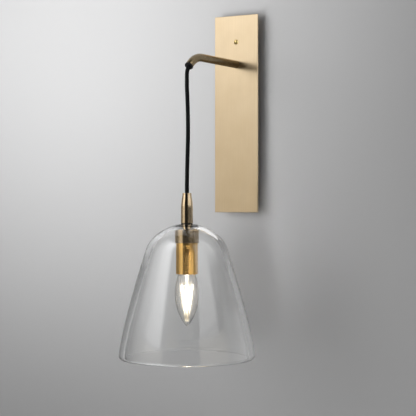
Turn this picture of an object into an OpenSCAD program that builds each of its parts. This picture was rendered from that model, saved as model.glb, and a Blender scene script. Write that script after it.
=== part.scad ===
// Wall sconce: a plate on a back box, a bent arm, and a glass bell hung on a textile cord.
// Millimetres. The origin is on the wall behind the plate's centre; the room is towards -Y.

/* [Plate] */
// Height of the front plate
plate_h = 305; // [295:1:330]
// Width of the front plate
plate_w = 76; // [70:1:90]
// Thickness of the front plate
plate_t = 2; // [1.5:0.1:3]
// Bevel round the plate's front edge
plate_bevel = 0.5; // [0.2:0.1:0.8]

/* [Back box] */
// Depth of the box, from the wall to the plate's back
box_depth = 16; // [16:0.5:22]
// Sheet thickness of the box
box_t = 1.2; // [0.8:0.1:1.5]
// Distance from each end of the plate to the box
box_inset_end = 16; // [12:1:18]
// Distance from each side of the plate to the box
box_inset_side = 10; // [8:0.5:12]

/* [Wall bracket] */
// Width of the bracket's strip
bracket_w = 36; // [32:1:44]
// Thickness of the bracket's strip
bracket_t = 1.5; // [1.2:0.1:2]
// Distance between the two wall screw slots
slot_pitch = 120; // [110:1:128]
// Width of a wall screw slot
slot_w = 4.5; // [4:0.1:5.5]
// Length of a wall screw slot, end to end
slot_l = 12; // [8:0.5:14]
// Diameter of the supply cable's entry
entry_d = 20; // [16:0.5:22]
// Height of the entry's centre above the plate's centre
entry_z = -18; // [-22:0.5:-16]
// Distance from the plate's screw up to the bracket's top end
bracket_over = 10.5; // [7.5:0.5:14.5]
// Depth of the bracket's lower end, where its tongue begins
tongue_z = -112; // [-118:1:-104]
// Width of the tongue that the box hooks on
tongue_w = 18; // [14:1:24]

/* [Plate screw] */
// Distance from the plate's top end down to its screw
screw_drop = 41; // [38.5:0.5:43.5]
// Diameter of the screw's domed head
screw_head_d = 7.6; // [7:0.1:9]
// Height of the domed head
screw_head_h = 2.4; // [1.8:0.1:3]
// Thread diameter of the screw
screw_d = 4; // [3.5:0.1:4.5]
// Diameter of the threaded post on the bracket
post_d = 9; // [8:0.5:11]

/* [Arm] */
// Outer diameter of the tube
arm_d = 12; // [11.5:0.1:12.5]
// Wall of the tube
arm_wall = 1; // [0.8:0.1:1.2]
// Height of the tube's axis above the plate's centre
arm_z = 77; // [74:0.5:80]
// Straight length from the plate to the bend
arm_straight = 104.5; // [80:0.5:130]
// Radius of the bend, to the tube's centre
bend_r = 50; // [40:1:60]
// Angle that the tube bends through
bend_a = 45; // [40:1:55]
// Diameter of the thread that goes through the plate
thread_d = 11; // [10.8:0.1:11.2]
// Distance that the thread reaches behind the plate's back
thread_l = 7.5; // [7:0.1:9]
// Distance across the flats of the arm's nut
nut_af = 15; // [14:0.5:17]
// Thickness of the arm's nut
nut_t = 4; // [3:0.1:4.5]
// Thickness of the lock washer
washer_t = 1; // [0.8:0.1:1.2]
// Diameter of the mouth bush's flange
bush_d = 12.8; // [12.6:0.1:14]
// Thickness of the flange
bush_t = 2; // [1.5:0.1:3]
// Length of the bush inside the tube
bush_l = 4; // [3:0.5:4.5]

/* [Wiring] */
// Height of the terminal block's centre
block_z = 22; // [20:0.5:24]
// Height of the terminal block
block_h = 18; // [16:0.5:20]
// Distance from one terminal to the next
block_pitch = 9; // [8:0.5:10]
// Depth of the terminal block
block_t = 9.5; // [8:0.5:10]
// Thread diameter of the terminal block's fixing screw
block_screw_d = 3; // [2.5:0.1:3.5]
// Diameter of a terminal's screw
clamp_screw_d = 3.2; // [2.8:0.1:3.6]
// Height of the earth screw
earth_z = -42; // [-46:0.5:-40]
// Thread diameter of the earth screw
earth_d = 4; // [3.5:0.1:4.5]
// Diameter of an insulated wire
wire_d = 2; // [1.6:0.1:2.2]

/* [Cord] */
// Diameter of the textile cord
cord_d = 6; // [5.6:0.1:6.2]
// Radius of the cord's curve as it leaves the arm
exit_r = 22; // [18:0.5:26]
// Straight end of the cord below that curve
exit_l = 4; // [3.8:0.1:8]
// Length of the short stretch between the cord's two bending points
flex_l = 12; // [10:0.5:16]
// Clearance round the ball at each bending point
ball_gap = 0.3; // [0.2:0.05:0.4]

/* [Grip] */
// Length of the cord grip
grip_l = 44; // [40:0.5:50]
// Diameter of its top
grip_top_d = 13.3; // [12.5:0.1:14.5]
// Diameter of its lower part
grip_d = 17.6; // [17:0.1:19]
// Length of the tapered part
grip_taper = 20.5; // [16:0.5:24]
// Length of the clamp sleeve inside the grip
clamp_l = 15; // [11:0.5:16]
// Thread diameter of the hollow stem that joins grip, glass and lampholder
stem_d = 10; // [9.6:0.1:10.4]
// Bore of the hollow stem
stem_bore = 7; // [6.8:0.1:7.4]
// Length of stem inside the grip
stem_up = 12; // [9:0.5:14]

/* [Shade] */
// Height of the glass
shade_h = 194.5; // [180:0.5:215]
// Radius of the rim
shade_r = 98.5; // [94:0.5:104]
// Thickness of the glass
glass_t = 8.5; // [7:0.1:10]
// Radius of the shoulder, where the skirt begins
shoulder_r = 59.5; // [56:0.5:64]
// Depth of the shoulder below the top
shoulder_z = 37; // [34:0.5:42]
// Angle of the skirt to the axis at the shoulder
shoulder_a = 18; // [14:1:21]
// Angle of the skirt to the axis at the rim
rim_a = 3; // [0:1:8]
// Thickness of the washer above the glass
top_washer_t = 1; // [0.5:0.1:2]
// Thickness of the gasket below the glass
gasket_t = 2.5; // [1.5:0.1:3.5]

/* [Lampholder] */
// Outer diameter of the collar
collar_d = 34.8; // [34.6:0.1:38]
// Height of the collar
collar_h = 17; // [15:0.5:22]
// Thickness of the collar's top
collar_top_t = 3; // [2:0.1:4]
// Outer diameter of the sleeve
sleeve_d = 32; // [31:0.1:32]
// Wall of the collar and of the sleeve
tube_wall = 1.2; // [1:0.1:1.3]
// Length of sleeve below the collar
sleeve_show = 45; // [43:0.5:52]
// Length of sleeve inside the collar
sleeve_tuck = 8; // [5:0.5:10]
// Distance from the sleeve's end up to the lampholder's face
holder_recess = 5; // [4:0.5:6]
// Height of the holder's cap
holder_cap_h = 18; // [15:0.5:20]
// Depth of the bulb's socket
socket_h = 23.5; // [23:0.5:26]

/* [Bulb] */
// Largest diameter of the bulb's glass
bulb_d = 35; // [33:0.5:36]
// Length of glass below the sleeve
bulb_l = 76.5; // [70:0.5:82]
// Diameter of the bulb's screw cap
cap_screw_d = 13.8; // [13.6:0.1:13.9]
// Radial clearance of the screw cap in its socket
socket_gap = 0.35; // [0.3:0.05:0.5]
// Distance from one thread ridge to the next
thread_pitch = 2.82; // [2.7:0.01:2.9]
// Thickness of the bulb's glass
bulb_wall = 0.8; // [0.6:0.1:1]
// Diameter of a filament
filament_d = 1.5; // [1.3:0.1:2.2]
// Number of filaments
filament_n = 4; // [2:1:6]

/* [Hidden] */
$fn = 64;
// Clearances, radial: close fit, free fit and a loose hole
slip = 0.05;
fit = 0.1;
loose = 0.2;
// Distance that a cut reaches beyond the solid it opens
over = 1;

// Planes of the wall unit, from the wall outwards
plate_back = -box_depth;
plate_front = plate_back - plate_t;
box_inner = plate_back + box_t;
screw_z = plate_h / 2 - screw_drop;
bracket_top = screw_z + bracket_over;
box_w = plate_w - 2 * box_inset_side;
box_h = plate_h - 2 * box_inset_end;
tongue_y = -box_depth / 2;
tongue_low = -box_h / 2 - 2;
strip_front = -bracket_t;
block_front = strip_front - block_t;
clamp_screw_z = block_h / 2 - 4;
clamp_screw_depth = 3;

// Arm: where its bend starts, and the centre of its open end
bend_y = plate_front - arm_straight;
tube_end = [0, bend_y - bend_r * sin(bend_a), arm_z - bend_r * (1 - cos(bend_a))];
arm_bore = arm_d - 2 * arm_wall;
thread_end = plate_back + thread_l;

// Bending points of the cord
swing_point = tube_end + exit_r * [0, sin(bend_a) - 1, -cos(bend_a)] - [0, 0, exit_l];
sway_point = swing_point - [0, 0, flex_l];
// Route of the hanging cord: towards the wall, and down from its second bending point
cord_route = [
    [0, 0], [0.7, 9], [1.5, 20], [2.2, 31], [2.7, 42], [3, 53], [3, 64], [2.8, 75],
    [2.4, 86], [1.8, 98], [1.2, 110], [0.6, 122], [0.2, 134], [0, 145], [0, 154],
];
cord_sides = 12;
cord_len = cord_route[len(cord_route) - 1][1];
hang_y = sway_point.y;

// Heights down the pendant
grip_top = sway_point.z - cord_len;
grip_bot = grip_top - grip_l;
glass_top = grip_bot - top_washer_t;
glass_under = glass_top - glass_t;
collar_top = glass_under - gasket_t;
collar_bot = collar_top - collar_h;
sleeve_bot = collar_bot - sleeve_show;
holder_top = collar_top - collar_top_t;
holder_split = holder_top - holder_cap_h;
holder_face = sleeve_bot + holder_recess;
socket_floor = holder_face + socket_h;
stem_r = stem_d / 2;
stem_low = holder_top - 6;
clamp_top = grip_bot + stem_up + clamp_l;
sleeve_r = sleeve_d / 2;
sleeve_in = sleeve_r - tube_wall;

// Lampholder: its cap and the boss that goes up into the cap
holder_r = sleeve_in - fit;
cap_wall = 2.6;
cap_roof = 5;
boss_h = 7;
boss_r = holder_r - cap_wall;
boss_top = holder_split + boss_h;
holder_screw_x = 8.5;
holder_screw_d = 3;
holder_screw_l = 3;
rivet_r = 1.4;
shell_t = 0.4;
ridge = 0.45;
turns = 6;
cap_r = cap_screw_d / 2;
shell_in = cap_r + socket_gap;
socket_r = shell_in + ridge + shell_t;

// Glass outline, seen from the axis: crown, shoulder, skirt and rim
crown_flat = 9;
crown_handle = 5;
shoulder_handle = 31;
skirt_handle = 46;
rim_handle = 29;
seat_r = 15.5;
shade_bore = 6.5;

// Bulb: its cap, and its glass measured down from the sleeve's end
cap_low = holder_face - 0.5;
cap_rim = 1.2;
cap_len = cap_rim + turns * thread_pitch + 0.4;
cap_high = cap_low + cap_len;
cap_top_r = cap_r - 1.6;
cap_in = cap_r - ridge - 0.5;
insulator_h = 2.2;
contact_h = 1;
contact_top = cap_high + insulator_h + contact_h;
stub_r = cap_in - slip;
stub_l = 8;
bulb_neck_r = 12;
bulb_wide_z = 29;
pinch_low = sleeve_bot - 11;
pinch_r = 2.4;
filament_turn = 20;
rod_top = [7.6, sleeve_bot - 15.5];
rod_low = [2.4, sleeve_bot - bulb_l + 9.5];

function down(a) = [sin(a), -cos(a)];
function out(a) = [cos(a), sin(a)];
function bezier(a, b, c, d, steps) = [
    for (i = [0 : steps]) let (t = i / steps, u = 1 - t)
        u * u * u * a + 3 * u * u * t * b + 3 * u * t * t * c + t * t * t * d
];
function tail(list) = [for (i = [1 : len(list) - 1]) list[i]];
function reversed(list) = [for (i = [len(list) - 1 : -1 : 0]) list[i]];
function unit(v) = v / norm(v);
// Screw thread drawn as rings: a wave up the wall between a radius and a ridge beyond it
function wave(r, swing, low) = [
    for (i = [0 : 8 * turns]) [r + swing * (1 - cos(45 * i)) / 2, low + thread_pitch * i / 8]
];
// Direction from a bend's centre, above it at 0 and towards the room at 90
function turn(a) = [0, -sin(a), cos(a)];

// Places children at the arm's mouth, with +Z pointing out along the tube
module at_mouth() {
    translate(tube_end) rotate([90 + bend_a, 0, 0]) children();
}

// Places children on the pendant's axis
module hang(z = 0) {
    translate([0, hang_y, z]) children();
}

// Rod along Y between two planes
module y_rod(d, near, far) {
    translate([0, max(near, far), 0]) rotate([90, 0, 0]) cylinder(d = d, h = abs(far - near));
}

// Bent pipe in the YZ plane that starts above its centre and turns towards the room and down
module yz_bend(r, d, bore, angle) {
    rotate([180, -90, 0]) rotate_extrude(angle = angle)
        translate([r, 0]) difference() {
            circle(d = d);
            circle(d = bore);
        }
}

// Straight pipe along Y between two planes
module y_pipe(d, bore, near, far) {
    difference() {
        y_rod(d, near, far);
        y_rod(bore, max(near, far) + over, min(near, far) - over);
    }
}

module tube(d, bore, low, high) {
    difference() {
        translate([0, 0, low]) cylinder(d = d, h = high - low);
        translate([0, 0, low - over]) cylinder(d = bore, h = high - low + 2 * over);
    }
}

// Tube swept along a route, one ring of flat sides at each point; each point has its own radius
module swept(route, radii, sides) {
    last = len(route) - 1;
    along = [for (i = [0 : last]) unit(route[min(i + 1, last)] - route[max(i - 1, 0)])];
    rings = [for (i = [0 : last]) let (side = unit(cross(along[i], [1, 0, 0])), up = cross(along[i], side))
        for (k = [0 : sides - 1]) let (a = 360 * k / sides)
            route[i] + radii[i] * (cos(a) * side + sin(a) * up)];
    walls = [for (i = [0 : last - 1], k = [0 : sides - 1], half = [0, 1])
        let (n = (k + 1) % sides, a = i * sides, b = a + sides)
        half == 0 ? [a + k, a + n, b + n] : [a + k, b + n, b + k]];
    first_end = [for (k = [1 : sides - 2]) [0, k + 1, k]];
    last_end = [for (k = [1 : sides - 2]) [last * sides, last * sides + k, last * sides + k + 1]];
    polyhedron(rings, concat(walls, first_end, last_end), convexity = 4);
}

// Wall unit

module wall_slots() {
    reach = (slot_l - slot_w) / 2;
    for (s = [-1, 1], e = [-1, 1])
        translate([0, 0, s * slot_pitch / 2 + e * reach]) y_rod(slot_w, over, strip_front - over);
    for (s = [-1, 1])
        translate([-slot_w / 2, strip_front - over, s * slot_pitch / 2 - reach])
            cube([slot_w, bracket_t + 2 * over, 2 * reach]);
}

// Flat strip; its lower end steps out from the wall into a tongue
module wall_bracket() {
    color("silver") difference() {
        union() {
            translate([-bracket_w / 2, strip_front, tongue_z])
                cube([bracket_w, bracket_t, bracket_top - tongue_z]);
            translate([-tongue_w / 2, tongue_y - bracket_t, tongue_z])
                cube([tongue_w, bracket_t - tongue_y, bracket_t]);
            translate([-tongue_w / 2, tongue_y - bracket_t, tongue_low])
                cube([tongue_w, bracket_t, tongue_z - tongue_low]);
        }
        wall_slots();
        translate([0, 0, entry_z]) y_rod(entry_d, over, strip_front - over);
        translate([0, 0, block_z]) y_rod(block_screw_d + 2 * slip, over, strip_front - over);
        translate([0, 0, earth_z]) y_rod(earth_d + 2 * slip, over, strip_front - over);
    }
}

module bracket_post() {
    floor_y = strip_front - 0.7;
    color("silver") translate([0, 0, screw_z]) difference() {
        y_rod(post_d, strip_front, box_inner);
        y_rod(screw_d + 2 * slip, floor_y, box_inner - over);
    }
}

// Open towards the wall, with a hole in its lower wall for the bracket's tongue
module back_box() {
    play = 0.5;
    color([0.06, 0.06, 0.06]) difference() {
        translate([-box_w / 2, -box_depth, -box_h / 2]) cube([box_w, box_depth, box_h]);
        translate([-box_w / 2 + box_t, box_inner, -box_h / 2 + box_t])
            cube([box_w - 2 * box_t, box_depth, box_h - 2 * box_t]);
        translate([0, 0, arm_z]) y_rod(thread_d + 2 * fit, 0, plate_front);
        translate([0, 0, screw_z]) y_rod(screw_d + 2 * loose, 0, plate_front);
        translate([-tongue_w / 2 - play, tongue_y - bracket_t - play, -box_h / 2 - over])
            cube([tongue_w + 2 * play, bracket_t + 2 * play, box_t + 2 * over]);
    }
}

module front_plate() {
    notch = plate_bevel * sqrt(2);
    color([0.78, 0.66, 0.47]) difference() {
        translate([-plate_w / 2, plate_front, -plate_h / 2]) cube([plate_w, plate_t, plate_h]);
        for (s = [-1, 1]) {
            translate([0, plate_front, s * plate_h / 2]) rotate([45, 0, 0])
                cube([plate_w + 2 * over, notch, notch], center = true);
            translate([s * plate_w / 2, plate_front, 0]) rotate([0, 0, 45])
                cube([notch, notch, plate_h + 2 * over], center = true);
        }
        translate([0, 0, arm_z]) y_rod(thread_d + 2 * fit, 0, plate_front - over);
        translate([0, 0, screw_z]) y_rod(screw_d + 2 * loose, 0, plate_front - over);
    }
}

module plate_screw() {
    dome_r = (pow(screw_head_d / 2, 2) + pow(screw_head_h, 2)) / (2 * screw_head_h);
    color([0.72, 0.58, 0.36]) translate([0, 0, screw_z]) {
        y_rod(screw_d, strip_front - 1, plate_front);
        translate([0, plate_front, 0]) rotate([90, 0, 0]) intersection() {
            translate([0, 0, screw_head_h - dome_r]) sphere(r = dome_r);
            cylinder(d = screw_head_d + over, h = screw_head_h + over);
        }
    }
}

module arm_tube() {
    color([0.5, 0.4, 0.25]) {
        translate([0, 0, arm_z]) {
            y_pipe(thread_d, arm_bore, thread_end, plate_front);
            y_pipe(arm_d, arm_bore, plate_front, bend_y);
        }
        translate([0, bend_y, arm_z - bend_r]) yz_bend(bend_r, arm_d, arm_bore, bend_a);
    }
}

module arm_washer() {
    color("silver") translate([0, 0, arm_z]) difference() {
        y_rod(nut_af, box_inner, box_inner + washer_t);
        y_rod(thread_d + 2 * slip, box_inner - over, box_inner + washer_t + over);
    }
}

module arm_nut() {
    near = box_inner + washer_t;
    color("silver") translate([0, 0, arm_z]) difference() {
        translate([0, near + nut_t, 0]) rotate([90, 0, 0])
            cylinder(d = nut_af / cos(30), h = nut_t, $fn = 6);
        y_rod(thread_d + 2 * slip, near - over, near + nut_t + over);
    }
}

// Flange on the arm's open end, with a spigot inside the tube and round edges for the cord
module mouth_bush() {
    bore = cord_d / 2 + 2 * loose;
    plug = arm_bore / 2 - loose;
    lip = bush_d / 2;
    soft = bush_t / 2 - 0.2;
    color([0.05, 0.05, 0.05]) at_mouth() rotate_extrude() polygon(concat(
        [[bore, -bush_l], [plug, -bush_l], [plug, 0], [lip - soft, 0]],
        [for (a = [-67.5 : 22.5 : 0]) [lip - soft, soft] + soft * out(a)],
        [for (a = [0 : 22.5 : 90]) [lip - soft, bush_t - soft] + soft * out(a)],
        [[bore + soft, bush_t]],
        [for (a = [112.5 : 22.5 : 180]) [bore + soft, bush_t - soft] + soft * out(a)]
    ));
}

// Cord along the arm's axis, round the exit curve and straight down to the first bending point
module cord_in_arm() {
    bends = 6;
    bend_centre = [0, bend_y, arm_z - bend_r];
    exit_centre = tube_end + exit_r * [0, sin(bend_a), -cos(bend_a)];
    route = concat(
        [[0, thread_end, arm_z]],
        [for (i = [0 : bends]) bend_centre + bend_r * turn(bend_a * i / bends)],
        [for (i = [1 : bends]) exit_centre + exit_r * turn(bend_a + (90 - bend_a) * i / bends)],
        [swing_point + [0, 0, cord_d / 2 + ball_gap]]
    );
    color([0.08, 0.08, 0.09]) swept(route, [for (p = route) cord_d / 2], cord_sides);
}

// The stripped cores leave the cord at the arm's inner end and go down to the terminals
module core_wires() {
    step = 0.9 * wire_d + 0.4;
    top = block_z + block_h / 2;
    block_mid_y = strip_front - block_t / 2;
    color([0.35, 0.2, 0.1]) for (k = [-1, 0, 1]) {
        route = [
            [k * step, thread_end, arm_z],
            [k * step, thread_end + 1, arm_z],
            [k * step, thread_end + 2.2, arm_z - 0.6],
            [k * step, thread_end + 3.6, arm_z - 1.8],
            [k * step, thread_end + 4.4, arm_z - 4],
            [k * step * 1.1, thread_end + 4.6, arm_z - 8],
            [k * block_pitch * 0.7, thread_end + 3.6, (arm_z + top) / 2],
            [k * block_pitch, block_mid_y, top + 6],
            [k * block_pitch, block_mid_y, top],
        ];
        swept(route, [for (p = route) wire_d / 2], 8);
    }
}

// Places children at the block's six clamping screws
module at_terminals() {
    for (k = [-1, 0, 1], s = [-1, 1])
        translate([k * block_pitch, 0, block_z + s * clamp_screw_z]) children();
}

module terminal_block() {
    lug = block_pitch - 1;
    web_h = block_h - 4;
    color("white") difference() {
        union() {
            translate([-1.5 * block_pitch, block_front, block_z - web_h / 2])
                cube([3 * block_pitch, block_t, web_h]);
            for (k = [-1, 0, 1]) translate([k * block_pitch - lug / 2, block_front, block_z - block_h / 2])
                cube([lug, block_t, block_h]);
        }
        translate([0, 0, block_z]) y_rod(block_screw_d + 2 * slip, 0, block_front - over);
        at_terminals() y_rod(clamp_screw_d + 2 * fit, block_front + clamp_screw_depth, block_front - over);
    }
}

module terminal_screws() {
    head = block_front + 0.4;
    slot = [clamp_screw_d + over, 0.6, 0.6];
    color("silver") at_terminals() difference() {
        y_rod(clamp_screw_d, block_front + clamp_screw_depth, head);
        translate([0, head, 0]) cube([slot.x, 2 * slot.y, slot.z], center = true);
    }
}

module block_screw() {
    head_d = 5.4;
    head_h = 1.6;
    slot = [head_d + over, 0.8, 0.8];
    color("silver") translate([0, 0, block_z]) difference() {
        union() {
            y_rod(block_screw_d, 0, block_front);
            y_rod(head_d, block_front, block_front - head_h);
        }
        translate([0, block_front - head_h, 0]) cube([slot.x, 2 * slot.y, slot.z], center = true);
    }
}

module earth_washer() {
    color("gold") translate([0, 0, earth_z]) difference() {
        y_rod(9, strip_front, strip_front - 1);
        y_rod(earth_d + 2 * slip, strip_front + over, strip_front - 1 - over);
    }
}

module earth_screw() {
    seat = strip_front - 1;
    head_d = 7;
    head_h = 2.4;
    cross = [head_d - 2, 1.2, 0.8];
    color("gold") translate([0, 0, earth_z]) difference() {
        union() {
            y_rod(earth_d, 0, seat);
            y_rod(head_d, seat, seat - head_h);
        }
        for (a = [0, 90]) rotate([0, a, 0])
            translate([0, seat - head_h, 0]) cube([cross.x, 2 * cross.y, cross.z], center = true);
    }
}

// Hanging cord

// Short stretch of cord: a ball at the first bending point and a cup over the second
module cord_flex() {
    color([0.08, 0.08, 0.09]) {
        translate(swing_point) sphere(d = cord_d);
        translate(sway_point) difference() {
            cylinder(d = cord_d, h = flex_l);
            sphere(r = cord_d / 2 + ball_gap);
        }
    }
}

// The cord from its second bending point to the grip; its top is a dome
module cord_drop() {
    r = cord_d / 2;
    dome = [80, 60, 40, 20];
    route = concat([for (a = dome) [0, r * sin(a)]], [for (p = cord_route) [p[0], -p[1]]]);
    radii = concat([for (a = dome) r * cos(a)], [for (p = cord_route) r]);
    color([0.08, 0.08, 0.09]) swept([for (p = route) sway_point + [0, p[0], p[1]]], radii, cord_sides);
}

// Grip and stem

module cord_in_grip() {
    color([0.08, 0.08, 0.09]) hang(boss_top) cylinder(d = cord_d, h = grip_top - boss_top);
}

module cord_grip() {
    round = 0.8;
    r0 = grip_top_d / 2;
    r1 = grip_d / 2;
    color([0.5, 0.4, 0.25]) hang(grip_top) difference() {
        rotate_extrude() polygon(concat(
            [[0, 0]],
            [for (a = [90 : -15 : 0]) [r0 - round + round * cos(a), -round + round * sin(a)]],
            bezier([r0, -round], [r0 + 0.4, -grip_taper * 0.35],
                [r1 - 0.2, -grip_taper * 0.7], [r1, -grip_taper], 10),
            [[r1, -grip_l + 0.4], [r1 - 0.4, -grip_l], [0, -grip_l]]
        ));
        translate([0, 0, -grip_l - over]) cylinder(d = cord_d + 2 * fit, h = grip_l + 2 * over);
        translate([0, 0, -grip_l - over]) cylinder(r = stem_r + slip, h = clamp_top - grip_bot + over);
    }
}

module cord_clamp() {
    color("white") hang() tube(stem_d, cord_d + 2 * slip, grip_bot + stem_up, clamp_top);
}

module hollow_stem() {
    color("gold") hang() tube(stem_d, stem_bore, stem_low, grip_bot + stem_up);
}

module top_washer() {
    color([0.1, 0.1, 0.1]) hang() tube(grip_d - 1, stem_d + 2 * fit, glass_top, grip_bot);
}

// Glass bell, turned round its axis; heights are measured from its top
module glass_shade() {
    rim_z = -(shade_h - glass_t / 2);
    shoulder = [shoulder_r, -shoulder_z];
    rim = [shade_r, rim_z];
    shoulder_in = shoulder - glass_t * out(shoulder_a);
    rim_in = rim - glass_t * out(rim_a);
    outer = concat(
        bezier([crown_flat, 0], [crown_flat + crown_handle, 0],
            shoulder - shoulder_handle * down(shoulder_a), shoulder, 16),
        tail(bezier(shoulder, shoulder + skirt_handle * down(shoulder_a),
            rim - rim_handle * down(rim_a), rim, 14))
    );
    edge = [for (k = [1 : 7]) let (a = rim_a - 180 * k / 8) (rim + rim_in) / 2 + glass_t / 2 * out(a)];
    inner = concat(
        bezier([seat_r, -glass_t], [seat_r + crown_handle, -glass_t],
            shoulder_in - (shoulder_handle - glass_t) * down(shoulder_a), shoulder_in, 16),
        tail(bezier(shoulder_in, shoulder_in + skirt_handle * down(shoulder_a),
            rim_in - rim_handle * down(rim_a), rim_in, 14))
    );
    color([0.85, 0.9, 0.9, 0.35]) hang(glass_top) rotate_extrude($fn = 96) polygon(concat(
        [[shade_bore, -glass_t], [shade_bore, 0]],
        outer,
        edge,
        reversed(inner)
    ));
}

// Flat ring below the glass, with a spigot that centres the glass on the stem
module shade_gasket() {
    bore = stem_r + fit;
    spigot = shade_bore - fit;
    ring = seat_r - 0.5;
    color([0.1, 0.1, 0.1]) hang() rotate_extrude() polygon([
        [bore, collar_top], [ring, collar_top], [ring, glass_under], [spigot, glass_under],
        [spigot, glass_top - fit], [bore, glass_top - fit]
    ]);
}

// Lampholder

module socket_collar() {
    r = collar_d / 2;
    soft = 0.8;
    color([0.5, 0.4, 0.25]) hang(collar_top) difference() {
        rotate_extrude() polygon(concat(
            [[0, 0]],
            [for (a = [90 : -15 : 0]) [r - soft + soft * cos(a), -soft + soft * sin(a)]],
            [[r, -collar_h + 0.3], [r - 0.3, -collar_h], [r - tube_wall, -collar_h]],
            [[r - tube_wall, -collar_top_t], [0, -collar_top_t]]
        ));
        translate([0, 0, -collar_h]) cylinder(d = stem_d + 2 * fit, h = collar_h + over);
    }
}

module holder_cap() {
    color([0.9, 0.88, 0.82]) hang(holder_split) difference() {
        cylinder(r = holder_r - 0.8, h = holder_cap_h);
        translate([0, 0, -over]) cylinder(r = boss_r, h = holder_cap_h - cap_roof + over);
        cylinder(r = stem_r + slip, h = holder_cap_h + over);
    }
}

module lampholder() {
    color([0.9, 0.88, 0.82]) hang() difference() {
        union() {
            translate([0, 0, holder_face]) cylinder(r = holder_r, h = holder_split - holder_face);
            translate([0, 0, holder_split]) cylinder(r = boss_r - fit, h = boss_h);
        }
        translate([0, 0, holder_face - over]) cylinder(r = socket_r, h = socket_h + over);
        translate([0, 0, socket_floor - over])
            cylinder(r = rivet_r + slip, h = boss_top - socket_floor + 2 * over);
        for (s = [-1, 1]) translate([s * holder_screw_x, 0, boss_top - holder_screw_l])
            cylinder(d = holder_screw_d + 2 * slip, h = holder_screw_l + over);
    }
}

module holder_screws() {
    head_d = 4.6;
    head_h = 1.4;
    slot = [head_d + over, 0.6, 0.8];
    color("gold") for (s = [-1, 1]) hang(boss_top) translate([s * holder_screw_x, 0, 0]) difference() {
        union() {
            translate([0, 0, -holder_screw_l]) cylinder(d = holder_screw_d, h = holder_screw_l);
            cylinder(d = head_d, h = head_h);
        }
        translate([0, 0, head_h]) cube([slot.x, slot.y, 2 * slot.z], center = true);
    }
}

// Thread in thin metal, ring by ring; the end ring stands on the socket's wall
module thread_shell() {
    low = holder_face + 0.2;
    high = low + turns * thread_pitch;
    edge = 0.5;
    color([0.85, 0.75, 0.5]) hang() rotate_extrude() polygon(concat(
        wave(shell_in, ridge, low),
        [[shell_in, high + edge], [socket_r - slip, high + edge], [socket_r - slip, high]],
        reversed(wave(shell_in + shell_t, ridge - slip, low))
    ));
}

// Pad above the bulb's contact, its block, and a rivet up through the lampholder
module centre_contact() {
    pad = contact_top + ball_gap;
    pad_h = 0.6;
    color("gold") hang() rotate_extrude() polygon([
        [0, pad], [3, pad], [3, pad + pad_h], [2.4, pad + pad_h], [2.4, socket_floor],
        [rivet_r, socket_floor], [rivet_r, boss_top - loose], [0, boss_top - loose]
    ]);
}

// Tube with a small bevel inside its open end
module socket_sleeve() {
    bevel = 0.4;
    high = collar_bot + sleeve_tuck;
    color([0.8, 0.6, 0.25]) hang() rotate_extrude() polygon([
        [sleeve_in + bevel, sleeve_bot], [sleeve_r, sleeve_bot], [sleeve_r, high],
        [sleeve_in, high], [sleeve_in, sleeve_bot + bevel]
    ]);
}

// Bulb

module bulb_contact() {
    color("silver") hang(cap_high + insulator_h) cylinder(r = 2.3, h = contact_h);
}

module bulb_insulator() {
    color([0.05, 0.05, 0.08]) hang(cap_high) cylinder(r1 = cap_top_r, r2 = 3, h = insulator_h);
}

// Screw cap, closed above; the glass goes up into it
module bulb_cap() {
    root = cap_r - ridge;
    color([0.75, 0.75, 0.72]) hang() rotate_extrude() polygon(concat(
        [[cap_in, cap_low], [cap_r, cap_low]],
        wave(root, ridge, cap_low + cap_rim),
        [[cap_top_r, cap_high], [0, cap_high]],
        [[0, cap_high - shell_t], [cap_in, cap_high - shell_t]]
    ));
}

// Candle-shaped glass, closed at its tip and cemented into the cap
module bulb_glass() {
    wide = [bulb_d / 2, -bulb_wide_z];
    neck = [bulb_neck_r, 0];
    stub = stub_r;
    top = cap_low - sleeve_bot;
    tip_z = -bulb_l;
    outer = concat(
        bezier([stub, top], [stub + 1, top - 1.4], neck + [-3, 2], neck, 6),
        tail(bezier(neck, neck + [2.6, -4.5], wide + [0, 12], wide, 8)),
        tail(bezier(wide, wide + [0, -23.5], [7, tip_z + 6.5], [0, tip_z], 14))
    );
    w = bulb_wall;
    inner = concat(
        bezier([stub - w, top - w], [stub, top - 1.9 - w], neck + [-3, 1], neck - [w, 0.4], 6),
        tail(bezier(neck - [w, 0.4], neck + [2.6 - w, -4.5], wide + [-w, 12], wide - [w, 0], 8)),
        tail(bezier(wide - [w, 0], wide + [-w, -23.5], [6.2, tip_z + 7.2], [0, tip_z + 1.4 * w], 14))
    );
    color([0.95, 0.95, 0.95, 0.35]) hang(sleeve_bot) rotate_extrude() polygon(concat(
        [[stub - w, top + stub_l], [stub, top + stub_l]], outer, reversed(inner)
    ));
}

// Glass rod that flares to the bulb's stub above, and holds the filaments below
module bulb_stem() {
    high = cap_low + stub_l;
    flare_h = 2;
    color([0.9, 0.95, 0.95, 0.35]) hang() rotate_extrude() polygon([
        [0, pinch_low], [1.6, pinch_low], [pinch_r, high - flare_h],
        [stub_r - bulb_wall - slip, high], [0, high]
    ]);
}

// Rod between two points, each given as its radius and height in one upright plane
module slant_rod(a, b, d) {
    v = b - a;
    translate([a[0], 0, a[1]]) rotate([0, atan2(v[0], v[1]), 0]) cylinder(d = d, h = norm(v), $fn = 16);
}

module bulb_filaments() {
    color([1, 0.8, 0.4]) hang() for (k = [0 : filament_n - 1])
        rotate([0, 0, filament_turn + 360 * k / filament_n]) slant_rod(rod_top, rod_low, filament_d);
}

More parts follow.
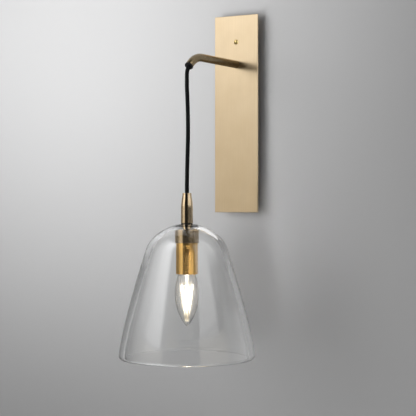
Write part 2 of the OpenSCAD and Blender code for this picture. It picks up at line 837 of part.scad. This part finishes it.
// A hub below the stem with a wire to each filament, and a disc that joins their lower ends
module filament_wires() {
    hub_h = 1.2;
    hub_r = 1.9;
    wire = 0.6;
    color("silver") hang() {
        translate([0, 0, pinch_low - hub_h]) cylinder(r = hub_r, h = hub_h);
        translate([0, 0, rod_low[1] - 1]) cylinder(r = rod_low[0] + 0.6, h = 1);
        for (k = [0 : filament_n - 1]) rotate([0, 0, filament_turn + 360 * k / filament_n])
            slant_rod([hub_r - 0.7, pinch_low - hub_h / 2], rod_top, wire);
    }
}

wall_bracket();
bracket_post();
back_box();
front_plate();
plate_screw();
arm_tube();
arm_washer();
arm_nut();
mouth_bush();
cord_in_arm();
core_wires();
terminal_block();
terminal_screws();
block_screw();
earth_washer();
earth_screw();
cord_flex();
cord_drop();
cord_in_grip();
cord_grip();
cord_clamp();
hollow_stem();
top_washer();
glass_shade();
shade_gasket();
socket_collar();
holder_cap();
lampholder();
holder_screws();
thread_shell();
centre_contact();
socket_sleeve();
bulb_contact();
bulb_insulator();
bulb_cap();
bulb_glass();
bulb_stem();
bulb_filaments();
filament_wires();
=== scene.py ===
import math

import bpy
from mathutils import Euler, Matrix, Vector


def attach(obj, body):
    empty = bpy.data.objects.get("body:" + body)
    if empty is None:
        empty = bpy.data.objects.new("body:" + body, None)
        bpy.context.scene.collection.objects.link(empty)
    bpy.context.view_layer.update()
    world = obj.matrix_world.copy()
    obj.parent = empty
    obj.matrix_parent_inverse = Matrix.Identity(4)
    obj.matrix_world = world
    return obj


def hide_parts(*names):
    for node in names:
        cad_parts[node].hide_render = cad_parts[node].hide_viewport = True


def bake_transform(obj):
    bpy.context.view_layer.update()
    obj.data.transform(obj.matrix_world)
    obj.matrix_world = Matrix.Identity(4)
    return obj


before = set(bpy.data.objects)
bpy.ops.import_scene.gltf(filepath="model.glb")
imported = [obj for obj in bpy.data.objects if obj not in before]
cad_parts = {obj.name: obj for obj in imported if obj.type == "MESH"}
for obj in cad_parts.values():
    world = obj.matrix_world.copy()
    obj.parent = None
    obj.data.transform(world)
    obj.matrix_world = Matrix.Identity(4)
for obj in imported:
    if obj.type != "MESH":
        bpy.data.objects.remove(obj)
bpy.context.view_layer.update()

MM = 0.001

# Arm, in metres: its straight part's height, its bend, and where the cord comes in and goes out
ARM_Z = 0.077
BEND_Y = -0.1225
BEND_R = 0.05
BEND_A = math.radians(45)
THREAD_END = -0.0085
EXIT_R = 0.022
BEND_STEPS = 24

# Cord: its two bending points, and its route below the second, in mm towards the wall and down
CORD_D = 0.006
FLEX_L = 0.012
SWING = Vector((0, -0.164299, 0.042799))
SWAY = SWING - Vector((0, 0, FLEX_L))
CORD_ROUTE = [
    (0, 0), (0.7, 9), (1.5, 20), (2.2, 31), (2.7, 42), (3, 53), (3, 64), (2.8, 75),
    (2.4, 86), (1.8, 98), (1.2, 110), (0.6, 122), (0.2, 134), (0, 145), (0, 154),
]
ROUTE_STEPS = 8

# The cord's braid: strands each way, the length in which one goes round, and its ridges' height
STRANDS = 12
STRAND_LEAD = 0.0135
RIDGE_H = 0.00016
BRAID_SIDES = 36
BRAID_GAP = 0.0006

# Pendant: its upright axis, and the heights on it that the glass pieces start from
AXIS_Y = SWAY.y
GLASS_TOP = -0.168201
SLEEVE_BOT = -0.241201
CAP_LOW = -0.236701

# Glass bell, in mm and degrees; the handles are those of its outline's curves
GLASS_T = 8.5
SHADE_H = 194.5
SHADE_R = 98.5
SHADE_BORE = 6.5
CROWN_FLAT = 9
SEAT_R = 15.5
SHOULDER = (59.5, -37.0)
SHOULDER_A = 18
RIM_A = 3
CROWN_HANDLE = 5
SHOULDER_HANDLE = 31
SKIRT_HANDLE = 46
RIM_HANDLE = 29
CROWN_STEPS = 32
SKIRT_STEPS = 40
EDGE_STEPS = 16
BELL_SIDES = 192

# Bulb glass, in mm: its stub fits in the screw cap
BULB_WALL = 0.8
CAP_SCREW_D = 13.8
CAP_RIDGE = 0.45
CAP_METAL = 0.5
SLIP = 0.05
STUB_R = CAP_SCREW_D / 2 - CAP_RIDGE - CAP_METAL - SLIP
STUB_L = 8
NECK_R = 12
WIDE_R = 17.5
WIDE_Z = -29
TIP_Z = -76.5
BULB_STEPS = (10, 16, 32)
BULB_SIDES = 96

# Camera, level and fitted to the photo
CAMERA_AT = (0.946, -1.7148, -0.1328)
CAMERA_TURN = math.radians(30.424)
FOCAL_PX = 1252.28
PHOTO_PX = 416
SENSOR = 36
HORIZON_ROW = 199.62

# Stage
WALL_Y = 0.0002
WALL_HALF = 4
WALL_TOP = 2.6
FLOOR_Z = -1.4
FLOOR_HALF = 6
CARD_CENTRE = Vector((0, -0.16, -0.1))
CARD_COLS = 24
CARD_ROWS = 16
EDGE_SHEET_LOW = -1
EDGE_SHEET_HIGH = 0.6
WORLD_LIGHT = 0.115
WORLD_SHOWN = 0.5
WORLD_MIRRORED = 0.02


def make_camera():
    data = bpy.data.cameras.new("camera")
    data.sensor_width = SENSOR
    data.lens = SENSOR * FOCAL_PX / PHOTO_PX
    data.shift_y = (HORIZON_ROW - PHOTO_PX / 2) / PHOTO_PX
    cam = bpy.data.objects.new("camera", data)
    cam.location = CAMERA_AT
    cam.rotation_euler = Euler((math.radians(90), 0, CAMERA_TURN))
    bpy.context.collection.objects.link(cam)
    bpy.context.scene.camera = cam


make_camera()


# Meshes
def new_object(name, verts, faces, smooth=True):
    mesh = bpy.data.meshes.new(name)
    mesh.from_pydata([tuple(v) for v in verts], [], faces)
    mesh.validate()
    mesh.update()
    for p in mesh.polygons:
        p.use_smooth = smooth
    obj = bpy.data.objects.new(name, mesh)
    bpy.context.collection.objects.link(obj)
    return obj


def catmull(points, steps):
    """Smooth curve through the points, with the same number of steps between each two."""
    pts = [2 * points[0] - points[1], *points, 2 * points[-1] - points[-2]]
    out = []
    for a, b, c, d in zip(pts, pts[1:], pts[2:], pts[3:]):
        for i in range(steps):
            t = i / steps
            out.append(
                0.5 * (2 * b + (c - a) * t + (2 * a - 5 * b + 4 * c - d) * t * t
                       + (3 * b - a - 3 * c + d) * t ** 3)
            )
    out.append(points[-1].copy())
    return out


def resample(path, gap):
    """The same path with points an even distance apart, and its length."""
    lengths = [0]
    for a, b in zip(path, path[1:]):
        lengths.append(lengths[-1] + (b - a).length)
    count = max(2, round(lengths[-1] / gap))
    out, j = [], 0
    for i in range(count + 1):
        s = lengths[-1] * i / count
        while j < len(path) - 2 and lengths[j + 1] < s:
            j += 1
        t = (s - lengths[j]) / max(lengths[j + 1] - lengths[j], 1e-12)
        out.append(path[j].lerp(path[j + 1], min(max(t, 0), 1)))
    return out, lengths[-1]


def braided_tube(name, path, radius, start=0.0):
    """Tube along a path in the YZ plane, ridged by two families of strands that cross. start is
    the length of cord before it, so that the braid runs on."""
    points, length = resample(path, BRAID_GAP)
    verts, faces = [], []
    across = Vector((1, 0, 0))
    for i, p in enumerate(points):
        along = (points[min(i + 1, len(points) - 1)] - points[max(i - 1, 0)]).normalized()
        up = along.cross(across).normalized()
        s = start + length * i / (len(points) - 1)
        for k in range(BRAID_SIDES):
            a = 2 * math.pi * k / BRAID_SIDES
            one = math.cos(STRANDS * (a + 2 * math.pi * s / STRAND_LEAD))
            two = math.cos(STRANDS * (a - 2 * math.pi * s / STRAND_LEAD))
            r = radius - RIDGE_H + RIDGE_H * max(one, two)
            verts.append(p + r * (math.cos(a) * across + math.sin(a) * up))
    for i in range(len(points) - 1):
        low, high = i * BRAID_SIDES, (i + 1) * BRAID_SIDES
        for k in range(BRAID_SIDES):
            n = (k + 1) % BRAID_SIDES
            faces.append((low + k, low + n, high + n, high + k))
    last = (len(points) - 1) * BRAID_SIDES
    faces.append(tuple(reversed(range(BRAID_SIDES))))
    faces.append(tuple(range(last, last + BRAID_SIDES)))
    obj = new_object(name, verts, faces)
    for end in list(obj.data.polygons)[-2:]:
        end.use_smooth = False
    return obj, points, length


def turn(a):
    """Direction from a bend's centre: up at 0 and into the room at 90 degrees."""
    return Vector((0, -math.sin(a), math.cos(a)))


# Cord: the piece in the arm runs past the first bending point to halfway to the second, where the
# hanging piece starts
join = SWAY + Vector((0, 0, FLEX_L / 2))
bend_centre = Vector((0, BEND_Y, ARM_Z - BEND_R))
tube_end = bend_centre + BEND_R * turn(BEND_A)
exit_centre = tube_end - EXIT_R * turn(BEND_A)
exit_turn = math.pi / 2 - BEND_A
in_arm = [Vector((0, THREAD_END, ARM_Z))]
in_arm += [bend_centre + BEND_R * turn(BEND_A * i / BEND_STEPS) for i in range(BEND_STEPS + 1)]
in_arm += [exit_centre + EXIT_R * turn(BEND_A + exit_turn * i / BEND_STEPS)
           for i in range(1, BEND_STEPS + 1)]
in_arm += [SWING, join]
cord_top, _, cord_in = braided_tube("cord_from_arm", in_arm, CORD_D / 2)
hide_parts("cord_in_arm")
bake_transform(cord_top)

route = [SWAY + MM * Vector((0, y, -z)) for y, z in CORD_ROUTE]
hanging = [join] + catmull(route, ROUTE_STEPS)
cord_hang, hang_path, hang_length = braided_tube("hanging_cord", hanging, CORD_D / 2, start=cord_in)
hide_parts("cord_flex", "cord_drop")
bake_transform(cord_hang)


def bezier(a, b, c, d, steps):
    out = []
    for i in range(steps + 1):
        t = i / steps
        u = 1 - t
        out.append(tuple(u ** 3 * p + 3 * u * u * t * q + 3 * u * t * t * r + t ** 3 * s
                         for p, q, r, s in zip(a, b, c, d)))
    return out


def lathe(name, outline, top, sides):
    """Turns a closed outline of (radius, height) in mm round the pendant's axis. Heights are from
    top, which is in metres."""
    verts, rings = [], []
    for r, z in outline:
        if r < 1e-6:
            rings.append([len(verts)])
            verts.append((0, AXIS_Y, top + z * MM))
            continue
        rings.append(list(range(len(verts), len(verts) + sides)))
        for k in range(sides):
            a = 2 * math.pi * k / sides
            verts.append((r * MM * math.cos(a), AXIS_Y + r * MM * math.sin(a), top + z * MM))
    faces = []
    for low, high in zip(rings, rings[1:] + rings[:1]):
        if len(low) == 1 and len(high) == 1:
            continue
        for k in range(sides):
            n = (k + 1) % sides
            if len(low) == 1:
                faces.append((low[0], high[k], high[n]))
            elif len(high) == 1:
                faces.append((low[n], low[k], high[0]))
            else:
                faces.append((low[n], low[k], high[k], high[n]))
    return new_object(name, verts, faces)


def out_dir(deg):
    return (math.cos(math.radians(deg)), math.sin(math.radians(deg)))


def down_dir(deg):
    return (math.sin(math.radians(deg)), -math.cos(math.radians(deg)))


def plus(p, k, v):
    return (p[0] + k * v[0], p[1] + k * v[1])


def bell_side(flat, shoulder, rim, shoulder_handle):
    """One face of the bell, from the crown's flat over the shoulder and down the skirt."""
    line = bezier(flat, (flat[0] + CROWN_HANDLE, flat[1]),
                  plus(shoulder, -shoulder_handle, down_dir(SHOULDER_A)), shoulder, CROWN_STEPS)
    return line + bezier(shoulder, plus(shoulder, SKIRT_HANDLE, down_dir(SHOULDER_A)),
                         plus(rim, -RIM_HANDLE, down_dir(RIM_A)), rim, SKIRT_STEPS)[1:]


def bell_outline():
    rim = (SHADE_R, -(SHADE_H - GLASS_T / 2))
    rim_in = plus(rim, -GLASS_T, out_dir(RIM_A))
    middle = ((rim[0] + rim_in[0]) / 2, (rim[1] + rim_in[1]) / 2)
    edge = [plus(middle, GLASS_T / 2, out_dir(RIM_A - 180 * k / EDGE_STEPS))
            for k in range(1, EDGE_STEPS)]
    outer = bell_side((CROWN_FLAT, 0), SHOULDER, rim, SHOULDER_HANDLE)
    inner = bell_side((SEAT_R, -GLASS_T), plus(SHOULDER, -GLASS_T, out_dir(SHOULDER_A)), rim_in,
                      SHOULDER_HANDLE - GLASS_T)
    return [(SHADE_BORE, -GLASS_T), (SHADE_BORE, 0)] + outer + edge + inner[::-1]


shade = lathe("glass_bell", bell_outline(), GLASS_TOP, BELL_SIDES)
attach(shade, "pendant")
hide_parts("glass_shade")


def bulb_side(points):
    """One face of the bulb's glass: three curves end to end, each with two handles."""
    line = points[:1]
    for i, steps in enumerate(BULB_STEPS):
        line = line + bezier(*points[3 * i:3 * i + 4], steps)[1:]
    return line


def bulb_outline():
    w = BULB_WALL
    top = (CAP_LOW - SLEEVE_BOT) / MM
    outer = bulb_side([
        (STUB_R, top), (STUB_R + 1, top - 1.4), (9, 2),
        (NECK_R, 0), (14.6, -4.5), (WIDE_R, -17),
        (WIDE_R, WIDE_Z), (WIDE_R, -52.5), (7, TIP_Z + 6.5),
        (0, TIP_Z),
    ])
    inner = bulb_side([
        (STUB_R - w, top - w), (STUB_R, top - 1.9 - w), (9, 1),
        (NECK_R - w, -0.4), (14.6 - w, -4.5), (WIDE_R - w, -17),
        (WIDE_R - w, WIDE_Z), (WIDE_R - w, -52.5), (6.2, TIP_Z + 7.2),
        (0, TIP_Z + 1.4 * w),
    ])
    return [(STUB_R - w, top + STUB_L), (STUB_R, top + STUB_L)] + outer + inner[::-1]


bulb = lathe("bulb_envelope", bulb_outline(), SLEEVE_BOT, BULB_SIDES)
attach(bulb, "bulb")
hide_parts("bulb_glass")


# Materials
BRUSH_SCALE = 900.0
METAL_BUMP = 0.02
BUMP_DISTANCE = 0.0002
PLASTIC_SPREAD = 0.06
FROST_SHARE = 0.3
FROST_ROUGH = 0.45
FROST_IOR = 1.45
HAZE_COLOR = (1, 0.9, 0.78, 1)
PAINT_SHADE = 0.985
WHITE = (1, 1, 1, 1)


def new_material(name):
    mat = bpy.data.materials.new(name)
    mat.use_nodes = True
    tree = mat.node_tree
    tree.nodes.clear()
    out = tree.nodes.new("ShaderNodeOutputMaterial")
    return mat, tree, out


def node(tree, kind, inputs=None, **props):
    n = tree.nodes.new(kind)
    for key, value in props.items():
        setattr(n, key, value)
    for key, value in (inputs or {}).items():
        if isinstance(value, bpy.types.NodeSocket):
            tree.links.new(value, n.inputs[key])
        else:
            n.inputs[key].default_value = value
    return n


def math_node(tree, operation, a, b, use_clamp=False):
    return node(tree, "ShaderNodeMath", {0: a, 1: b}, operation=operation,
                use_clamp=use_clamp).outputs[0]


def ramp(tree, fac, low, high, low_at, high_at):
    n = node(tree, "ShaderNodeValToRGB", {"Fac": fac})
    e = n.color_ramp.elements
    e[0].position, e[1].position = low_at, high_at
    e[0].color = (*low, 1)
    e[1].color = (*high, 1)
    return n.outputs["Color"]


def span(tree, value, low, high, from_low=0.0, from_high=1.0):
    return node(tree, "ShaderNodeMapRange", {
        "Value": value, "From Min": from_low, "From Max": from_high, "To Min": low, "To Max": high,
    }).outputs["Result"]


def noise(tree, scale, detail, stretch=(1, 1, 1)):
    coord = node(tree, "ShaderNodeTexCoord").outputs["Object"]
    mapping = node(tree, "ShaderNodeMapping", {"Vector": coord, "Scale": stretch})
    return node(tree, "ShaderNodeTexNoise", {
        "Vector": mapping.outputs["Vector"], "Scale": scale, "Detail": detail, "Roughness": 0.5,
    }).outputs["Fac"]


def bumps(tree, height, strength):
    return node(tree, "ShaderNodeBump", {
        "Strength": strength, "Distance": BUMP_DISTANCE, "Height": height,
    }).outputs["Normal"]


def upward(tree):
    """How high a point is on its piece, from 0 to 1."""
    box = node(tree, "ShaderNodeTexCoord").outputs["Generated"]
    return node(tree, "ShaderNodeSeparateXYZ", {"Vector": box}).outputs["Z"]


def finished(mat, tree, out, surface):
    tree.links.new(surface, out.inputs["Surface"])
    return mat


def metal(name, light, dark, rough, spread, patch=35.0, brush=(1, 1, 1), anisotropic=0.0):
    """Brass or steel with patches of tone and fine brushed lines, drawn out by brush."""
    mat, tree, out = new_material(name)
    patches = noise(tree, patch, 5.0)
    lines = noise(tree, BRUSH_SCALE, 2.0, brush)
    both = math_node(tree, "MULTIPLY", patches, lines)
    bsdf = node(tree, "ShaderNodeBsdfPrincipled", {
        "Base Color": ramp(tree, both, dark, light, 0.08, 0.42), "Metallic": 1.0,
        "Roughness": span(tree, lines, rough - spread, rough + spread, 0.25, 0.75),
        "Normal": bumps(tree, lines, METAL_BUMP), "Anisotropic": anisotropic,
    })
    return finished(mat, tree, out, bsdf.outputs[0])


def plastic(name, light, dark, rough, scale=300.0, bump=0.05, sheen=0.0, shine=0.5):
    mat, tree, out = new_material(name)
    grain = noise(tree, scale, 4.0)
    bsdf = node(tree, "ShaderNodeBsdfPrincipled", {
        "Base Color": ramp(tree, grain, dark, light, 0.3, 0.7),
        "Roughness": span(tree, grain, rough - PLASTIC_SPREAD, rough + PLASTIC_SPREAD, 0.3, 0.7),
        "Normal": bumps(tree, grain, bump), "Sheen Weight": sheen, "Specular IOR Level": shine,
    })
    return finished(mat, tree, out, bsdf.outputs[0])


def glass(name, color, rough, ior, least=0.0, glowing=None):
    """Clear glass, of roughness least to rough where faint wipe marks are. glowing is the haze that
    the lit lamp gives it, at its lower and at its upper end, and frosts it a little."""
    mat, tree, out = new_material(name)
    marks = noise(tree, 60.0, 3.0)
    bsdf = node(tree, "ShaderNodeBsdfPrincipled", {
        "Base Color": (*color, 1), "Roughness": span(tree, marks, least, rough, 0.55, 0.8),
        "IOR": ior, "Transmission Weight": 1.0,
    })
    surface = bsdf.outputs[0]
    if glowing:
        frost = node(tree, "ShaderNodeBsdfGlass", {
            "Color": (*color, 1), "Roughness": FROST_ROUGH, "IOR": FROST_IOR,
        }).outputs[0]
        mix = node(tree, "ShaderNodeMixShader", {0: FROST_SHARE, 1: surface, 2: frost})
        surface = mix.outputs[0]
        haze = span(tree, upward(tree), *glowing, 0.2, 0.5)
        bsdf.inputs["Emission Color"].default_value = HAZE_COLOR
        tree.links.new(haze, bsdf.inputs["Emission Strength"])
    return finished(mat, tree, out, surface)


def glow(name, color, low, high):
    """Lit part of the lamp, from low at its lower end to high at its upper end, with fine beads."""
    mat, tree, out = new_material(name)
    beads = span(tree, noise(tree, 700.0, 1.0), 0.8, 1.2, 0.3, 0.7)
    level = span(tree, upward(tree), low, high, 0.15, 0.7)
    bsdf = node(tree, "ShaderNodeBsdfPrincipled", {
        "Base Color": (*color, 1), "Roughness": 0.6, "Emission Color": (*color, 1),
        "Emission Strength": math_node(tree, "MULTIPLY", beads, level),
    })
    return finished(mat, tree, out, bsdf.outputs[0])


# Each material, and the pieces that wear it
DRESSED = [
    (metal("champagne_brass", (0.76, 0.61, 0.412), (0.703, 0.553, 0.358), 0.34, 0.04,
           brush=(1, 1, 0.02), anisotropic=0.8), "front_plate"),
    (metal("screw_brass", (0.98, 0.8, 0.36), (0.88, 0.68, 0.28), 0.36, 0.04), "plate_screw"),
    (metal("aged_brass", (0.70, 0.55, 0.37), (0.48, 0.36, 0.22), 0.2, 0.05, patch=60.0),
     "cord_grip socket_collar"),
    # Painted shade: the arm wears a darker copy of the grip's aged brass, darkened to stand in for
    # shade on it rather than for a different finish
    (metal("aged_brass_painted_darker", (0.44, 0.34, 0.2), (0.27, 0.2, 0.11), 0.24, 0.05, patch=50.0),
     "arm_tube"),
    (metal("gold_brass", (0.98, 0.64, 0.25), (0.9, 0.54, 0.17), 0.2, 0.04, brush=(1, 1, 0.03)),
     "socket_sleeve"),
    (metal("contact_brass", (0.75, 0.6, 0.32), (0.62, 0.48, 0.24), 0.3, 0.05),
     "earth_washer earth_screw hollow_stem holder_screws centre_contact bulb_contact"),
    (metal("zinc_steel", (0.7, 0.71, 0.72), (0.5, 0.51, 0.52), 0.38, 0.06, patch=90.0),
     "wall_bracket bracket_post arm_washer arm_nut terminal_screws block_screw"),
    (metal("bulb_cap_metal", (0.8, 0.78, 0.72), (0.65, 0.63, 0.58), 0.3, 0.05),
     "thread_shell bulb_cap"),
    (plastic("black_paint", (0.05, 0.045, 0.04), (0.03, 0.027, 0.025), 0.45, 500.0), "back_box"),
    (plastic("black_plastic", (0.016, 0.015, 0.015), (0.008, 0.008, 0.008), 0.5), "mouth_bush"),
    (plastic("black_rubber", (0.03, 0.03, 0.03), (0.015, 0.015, 0.015), 0.7),
     "top_washer shade_gasket"),
    (plastic("braided_textile", (0.01, 0.01, 0.011), (0.003, 0.003, 0.003), 0.8, 1500.0, 0.3,
             sheen=0.03, shine=0.15), "cord_from_arm hanging_cord cord_in_grip"),
    (plastic("wire_plastic", (0.36, 0.2, 0.09), (0.26, 0.14, 0.06), 0.45), "core_wires"),
    (plastic("white_nylon", (0.86, 0.85, 0.8), (0.74, 0.72, 0.67), 0.5),
     "terminal_block cord_clamp"),
    (plastic("holder_plastic", (0.8, 0.77, 0.68), (0.7, 0.67, 0.58), 0.35),
     "holder_cap lampholder"),
    (plastic("dark_insulator", (0.05, 0.05, 0.08), (0.02, 0.02, 0.03), 0.2), "bulb_insulator"),
    (glass("clear_thick_glass", (0.99, 0.993, 0.993), 0.02, 1.5), "glass_bell"),
    (glass("clear_thin_glass", (0.99, 0.99, 0.985), 0.2, 1.2, least=0.1, glowing=(0.002, 0.03)),
     "bulb_envelope"),
    (glow("lit_stem", (1.0, 0.93, 0.8), 3.0, 1.5), "bulb_stem"),
    (glow("lit_wires", (1.0, 0.9, 0.7), 1.2, 1.2), "filament_wires"),
    (glow("lit_filament", (1.0, 0.88, 0.68), 0.3, 12.0), "bulb_filaments"),
]

for worn, names in DRESSED:
    for name in names.split():
        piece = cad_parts.get(name) or bpy.data.objects[name]
        if not piece.material_slots:
            piece.data.materials.append(worn)
        for slot in piece.material_slots:
            slot.material = worn


# Wall and floor
def seen(tree):
    """1 where the camera sees a surface or the world, straight or through glass; else 0."""
    path = node(tree, "ShaderNodeLightPath").outputs
    return math_node(tree, "MAXIMUM", path["Is Camera Ray"], path["Is Transmission Ray"])


def plain(name, color, one_sided=False, pale=0.0):
    """Matt paint. A one-sided sheet is clear from behind, and pale is light added where the camera
    sees it."""
    mat, tree, out = new_material(name)
    low = tuple(c * PAINT_SHADE for c in color)
    bsdf = node(tree, "ShaderNodeBsdfPrincipled", {
        "Base Color": ramp(tree, noise(tree, 2.0, 2.0), low, color, 0.3, 0.7), "Roughness": 0.9,
        "Specular IOR Level": 0.1,
    })
    surface = bsdf.outputs[0]
    if pale:
        bsdf.inputs["Emission Color"].default_value = WHITE
        tree.links.new(span(tree, seen(tree), 0.0, pale), bsdf.inputs["Emission Strength"])
    if one_sided:
        clear = node(tree, "ShaderNodeBsdfTransparent").outputs[0]
        back = node(tree, "ShaderNodeNewGeometry").outputs["Backfacing"]
        surface = node(tree, "ShaderNodeMixShader", {0: back, 1: surface, 2: clear}).outputs[0]
    return finished(mat, tree, out, surface)


def stage_sheet(name, corners, mat):
    obj = new_object(name, corners, [(0, 1, 2, 3)], smooth=False)
    obj.data.materials.append(mat)
    return obj


def upright(name, low, high, mat):
    """Upright sheet between two opposite corners."""
    (x0, y0, z0), (x1, y1, z1) = low, high
    return stage_sheet(name, [(x0, y0, z0), (x1, y1, z0), (x1, y1, z1), (x0, y0, z1)], mat)


upright("wall", (-WALL_HALF, WALL_Y, FLOOR_Z), (WALL_HALF, WALL_Y, WALL_TOP),
        plain("wall_paint", (0.75, 0.75, 0.755), one_sided=True))
stage_sheet("floor", [(x * FLOOR_HALF, y * FLOOR_HALF, FLOOR_Z)
                      for x, y in ((-1, -1), (1, -1), (1, 1), (-1, 1))],
            plain("pale_floor", (0.72, 0.72, 0.71), pale=0.38))


# Light
def area(name, at, aim, size, power, spread=180):
    """Soft light on the object and the wall. Metal and glass show the cards and sheets instead."""
    data = bpy.data.lights.new(name, "AREA")
    data.shape = "ELLIPSE"
    data.size, data.size_y = size
    data.energy = power
    data.spread = math.radians(spread)
    obj = bpy.data.objects.new(name, data)
    obj.location = at
    obj.rotation_euler = (Vector(aim) - Vector(at)).to_track_quat("-Z", "Y").to_euler()
    obj.visible_camera = False
    obj.visible_glossy = False
    obj.visible_transmission = False
    bpy.context.collection.objects.link(obj)


def mirrored(tree):
    """1 for light that a surface mirrors on its way to the camera, also inside glass; else 0."""
    depth = node(tree, "ShaderNodeLightPath").outputs["Glossy Depth"]
    return math_node(tree, "GREATER_THAN", depth, 0.5)


def lit_where(tree, there, color, strength):
    """Light where there is 1, and nothing at all where it is 0."""
    light = node(tree, "ShaderNodeEmission", {"Color": color, "Strength": strength}).outputs[0]
    clear = node(tree, "ShaderNodeBsdfTransparent").outputs[0]
    return node(tree, "ShaderNodeMixShader", {0: there, 1: clear, 2: light}).outputs[0]


def only_mirrored(obj):
    obj.visible_camera = False
    obj.visible_diffuse = False
    obj.visible_shadow = False


def card(name, turns, heights, low, high, soft, color=(1, 1, 1), radius=2.6):
    """Curved reflector card round the object, seen only in reflections. turns are degrees to the
    right of straight out from the wall, heights degrees above level. Its brightness goes from low
    at its lower edge to high at its upper edge, and soft is the share of the card over which its
    left, right, lower and upper edges fade."""
    verts, faces, cover, power = [], [], [], []
    for i in range(CARD_ROWS + 1):
        for k in range(CARD_COLS + 1):
            u, v = k / CARD_COLS, i / CARD_ROWS
            a = math.radians(turns[0] + (turns[1] - turns[0]) * u)
            e = math.radians(heights[0] + (heights[1] - heights[0]) * v)
            verts.append(CARD_CENTRE + radius * Vector(
                (math.sin(a) * math.cos(e), -math.cos(a) * math.cos(e), math.sin(e))))
            fades = [u / soft[0], (1 - u) / soft[1], v / soft[2], (1 - v) / soft[3]]
            fades = [min(max(f, 0), 1) for f in fades]
            cover.append(math.prod(f * f * (3 - 2 * f) for f in fades))
            power.append(low + (high - low) * v)
    for i in range(CARD_ROWS):
        for k in range(CARD_COLS):
            a = i * (CARD_COLS + 1) + k
            faces.append((a, a + 1, a + CARD_COLS + 2, a + CARD_COLS + 1))
    obj = new_object(name, verts, faces)
    for key, values in (("cover", cover), ("power", power)):
        obj.data.attributes.new(key, "FLOAT", "POINT").data.foreach_set("value", values)
    mat, tree, out = new_material(name)
    covered, strength = [node(tree, "ShaderNodeAttribute", attribute_name=key).outputs["Fac"]
                         for key in ("cover", "power")]
    there = math_node(tree, "MULTIPLY", covered, mirrored(tree))
    surface = lit_where(tree, there, (*color, 1), strength)
    obj.data.materials.append(finished(mat, tree, out, surface))
    only_mirrored(obj)


def mirror_sheet(name, low, high, strength, fades=(), one_sided=False):
    """Upright white sheet seen only in reflections. Each fade is an axis and the two places on it
    between which the light goes from full to none. A one-sided sheet is clear from behind."""
    mat, tree, out = new_material(name)
    there = mirrored(tree)
    geometry = node(tree, "ShaderNodeNewGeometry").outputs
    places = node(tree, "ShaderNodeSeparateXYZ", {"Vector": geometry["Position"]}).outputs
    for axis, full, none in fades:
        there = math_node(tree, "MULTIPLY", there, span(tree, places[axis], 1.0, 0.0, full, none))
    if one_sided:
        there = math_node(tree, "SUBTRACT", there, geometry["Backfacing"], use_clamp=True)
    finished(mat, tree, out, lit_where(tree, there, WHITE, strength))
    only_mirrored(upright(name, low, high, mat))


def edge_sheet(name, x, near, far, strength, fades=()):
    """Sheet beside the glass, square to the wall, that shows in the glass's edges."""
    mirror_sheet(name, (x, near, EDGE_SHEET_LOW), (x, far, EDGE_SHEET_HIGH), strength, fades)


area("key", (-0.291, -0.832, -0.006), (-0.355, 0, 0.422), (0.6, 0.9), 2.4, spread=97)
area("fill", (-1.5, -1.9, 0.6), (0, -0.1, 0), (1.4, 1.4), 14.5)
area("fill_low", (-0.35, -1.2, -0.6), (0.3, 0, -0.3), (0.8, 0.8), 0.12, spread=60)
area("fill_right", (0.5, -1.5, -0.7), (0.22, 0, -0.38), (0.8, 0.8), 0.18, spread=42)
area("fill_near", (0.25, -1.0, -0.75), (0.045, 0, -0.2), (0.15, 0.15), 0.012, spread=10)

card("card_left", (-90, -15), (4.2, 62), 1.85, 5.6, (0.9, 0.03, 0.035, 0.2), radius=2.7)
card("card_left_low", (-90, -9), (-20, 6.5), 0.0, 1.5, (0.8, 0.06, 0.3, 0.05), (1, 0.965, 0.89))
card("card_right", (54, 125), (12, 60), 1.5, 1.6, (0.02, 0.1, 0.06, 0.2))
card("card_right_mid", (52, 118), (2, 14), 0.2, 1.7, (0.02, 0.1, 0.3, 0.15))
card("card_right_low", (50, 110), (-30, 4), 0.13, 0.13, (0.1, 0.4, 0.2, 0.3))
card("card_below", (-92, 52), (-78, -22), 0.35, 0.35, (0.1, 0.05, 0.1, 0.1))
card("card_near", (50, 102), (-65, -13), 0.85, 0.85, (0.02, 0.04, 0.2, 0.05), (1, 0.93, 0.8),
     radius=0.45)

edge_sheet("flag_left", -0.21, 0, -0.163, 0.26, [("Z", -0.215, -0.185)])
edge_sheet("strip_left", -0.21, -0.167, -0.195, 0.45)
edge_sheet("pale_right", 0.15, 0, -0.2, 0.75, [("Y", -0.15, -0.19), ("Z", -0.28, -0.25)])
edge_sheet("pale_high", 0.3, 0, -0.2, 1.5, [("Y", -0.13, -0.2), ("Z", -0.08, -0.12)])

# In front of the wall, behind the glass's crown and to the right of its skirt
mirror_sheet("white_back", (-0.04, -0.03, -0.153), (0.048, -0.03, -0.03), 0.9, one_sided=True)
mirror_sheet("pale_back", (0.04, -0.004, -0.42), (0.34, -0.004, -0.15), 0.36,
             [("Z", -0.21, -0.16)], one_sided=True)


def make_world():
    world = bpy.data.worlds.new("world")
    world.use_nodes = True
    tree = world.node_tree
    direct = span(tree, seen(tree), WORLD_LIGHT, WORLD_SHOWN)
    level = node(tree, "ShaderNodeMix", {0: mirrored(tree), 2: direct, 3: WORLD_MIRRORED})
    background = tree.nodes["Background"]
    background.inputs["Color"].default_value = WHITE
    tree.links.new(level.outputs[0], background.inputs["Strength"])
    bpy.context.scene.world = world


make_world()

for piece in (shade, bulb):
    piece.visible_shadow = False

bpy.context.scene.view_settings.view_transform = "Standard"
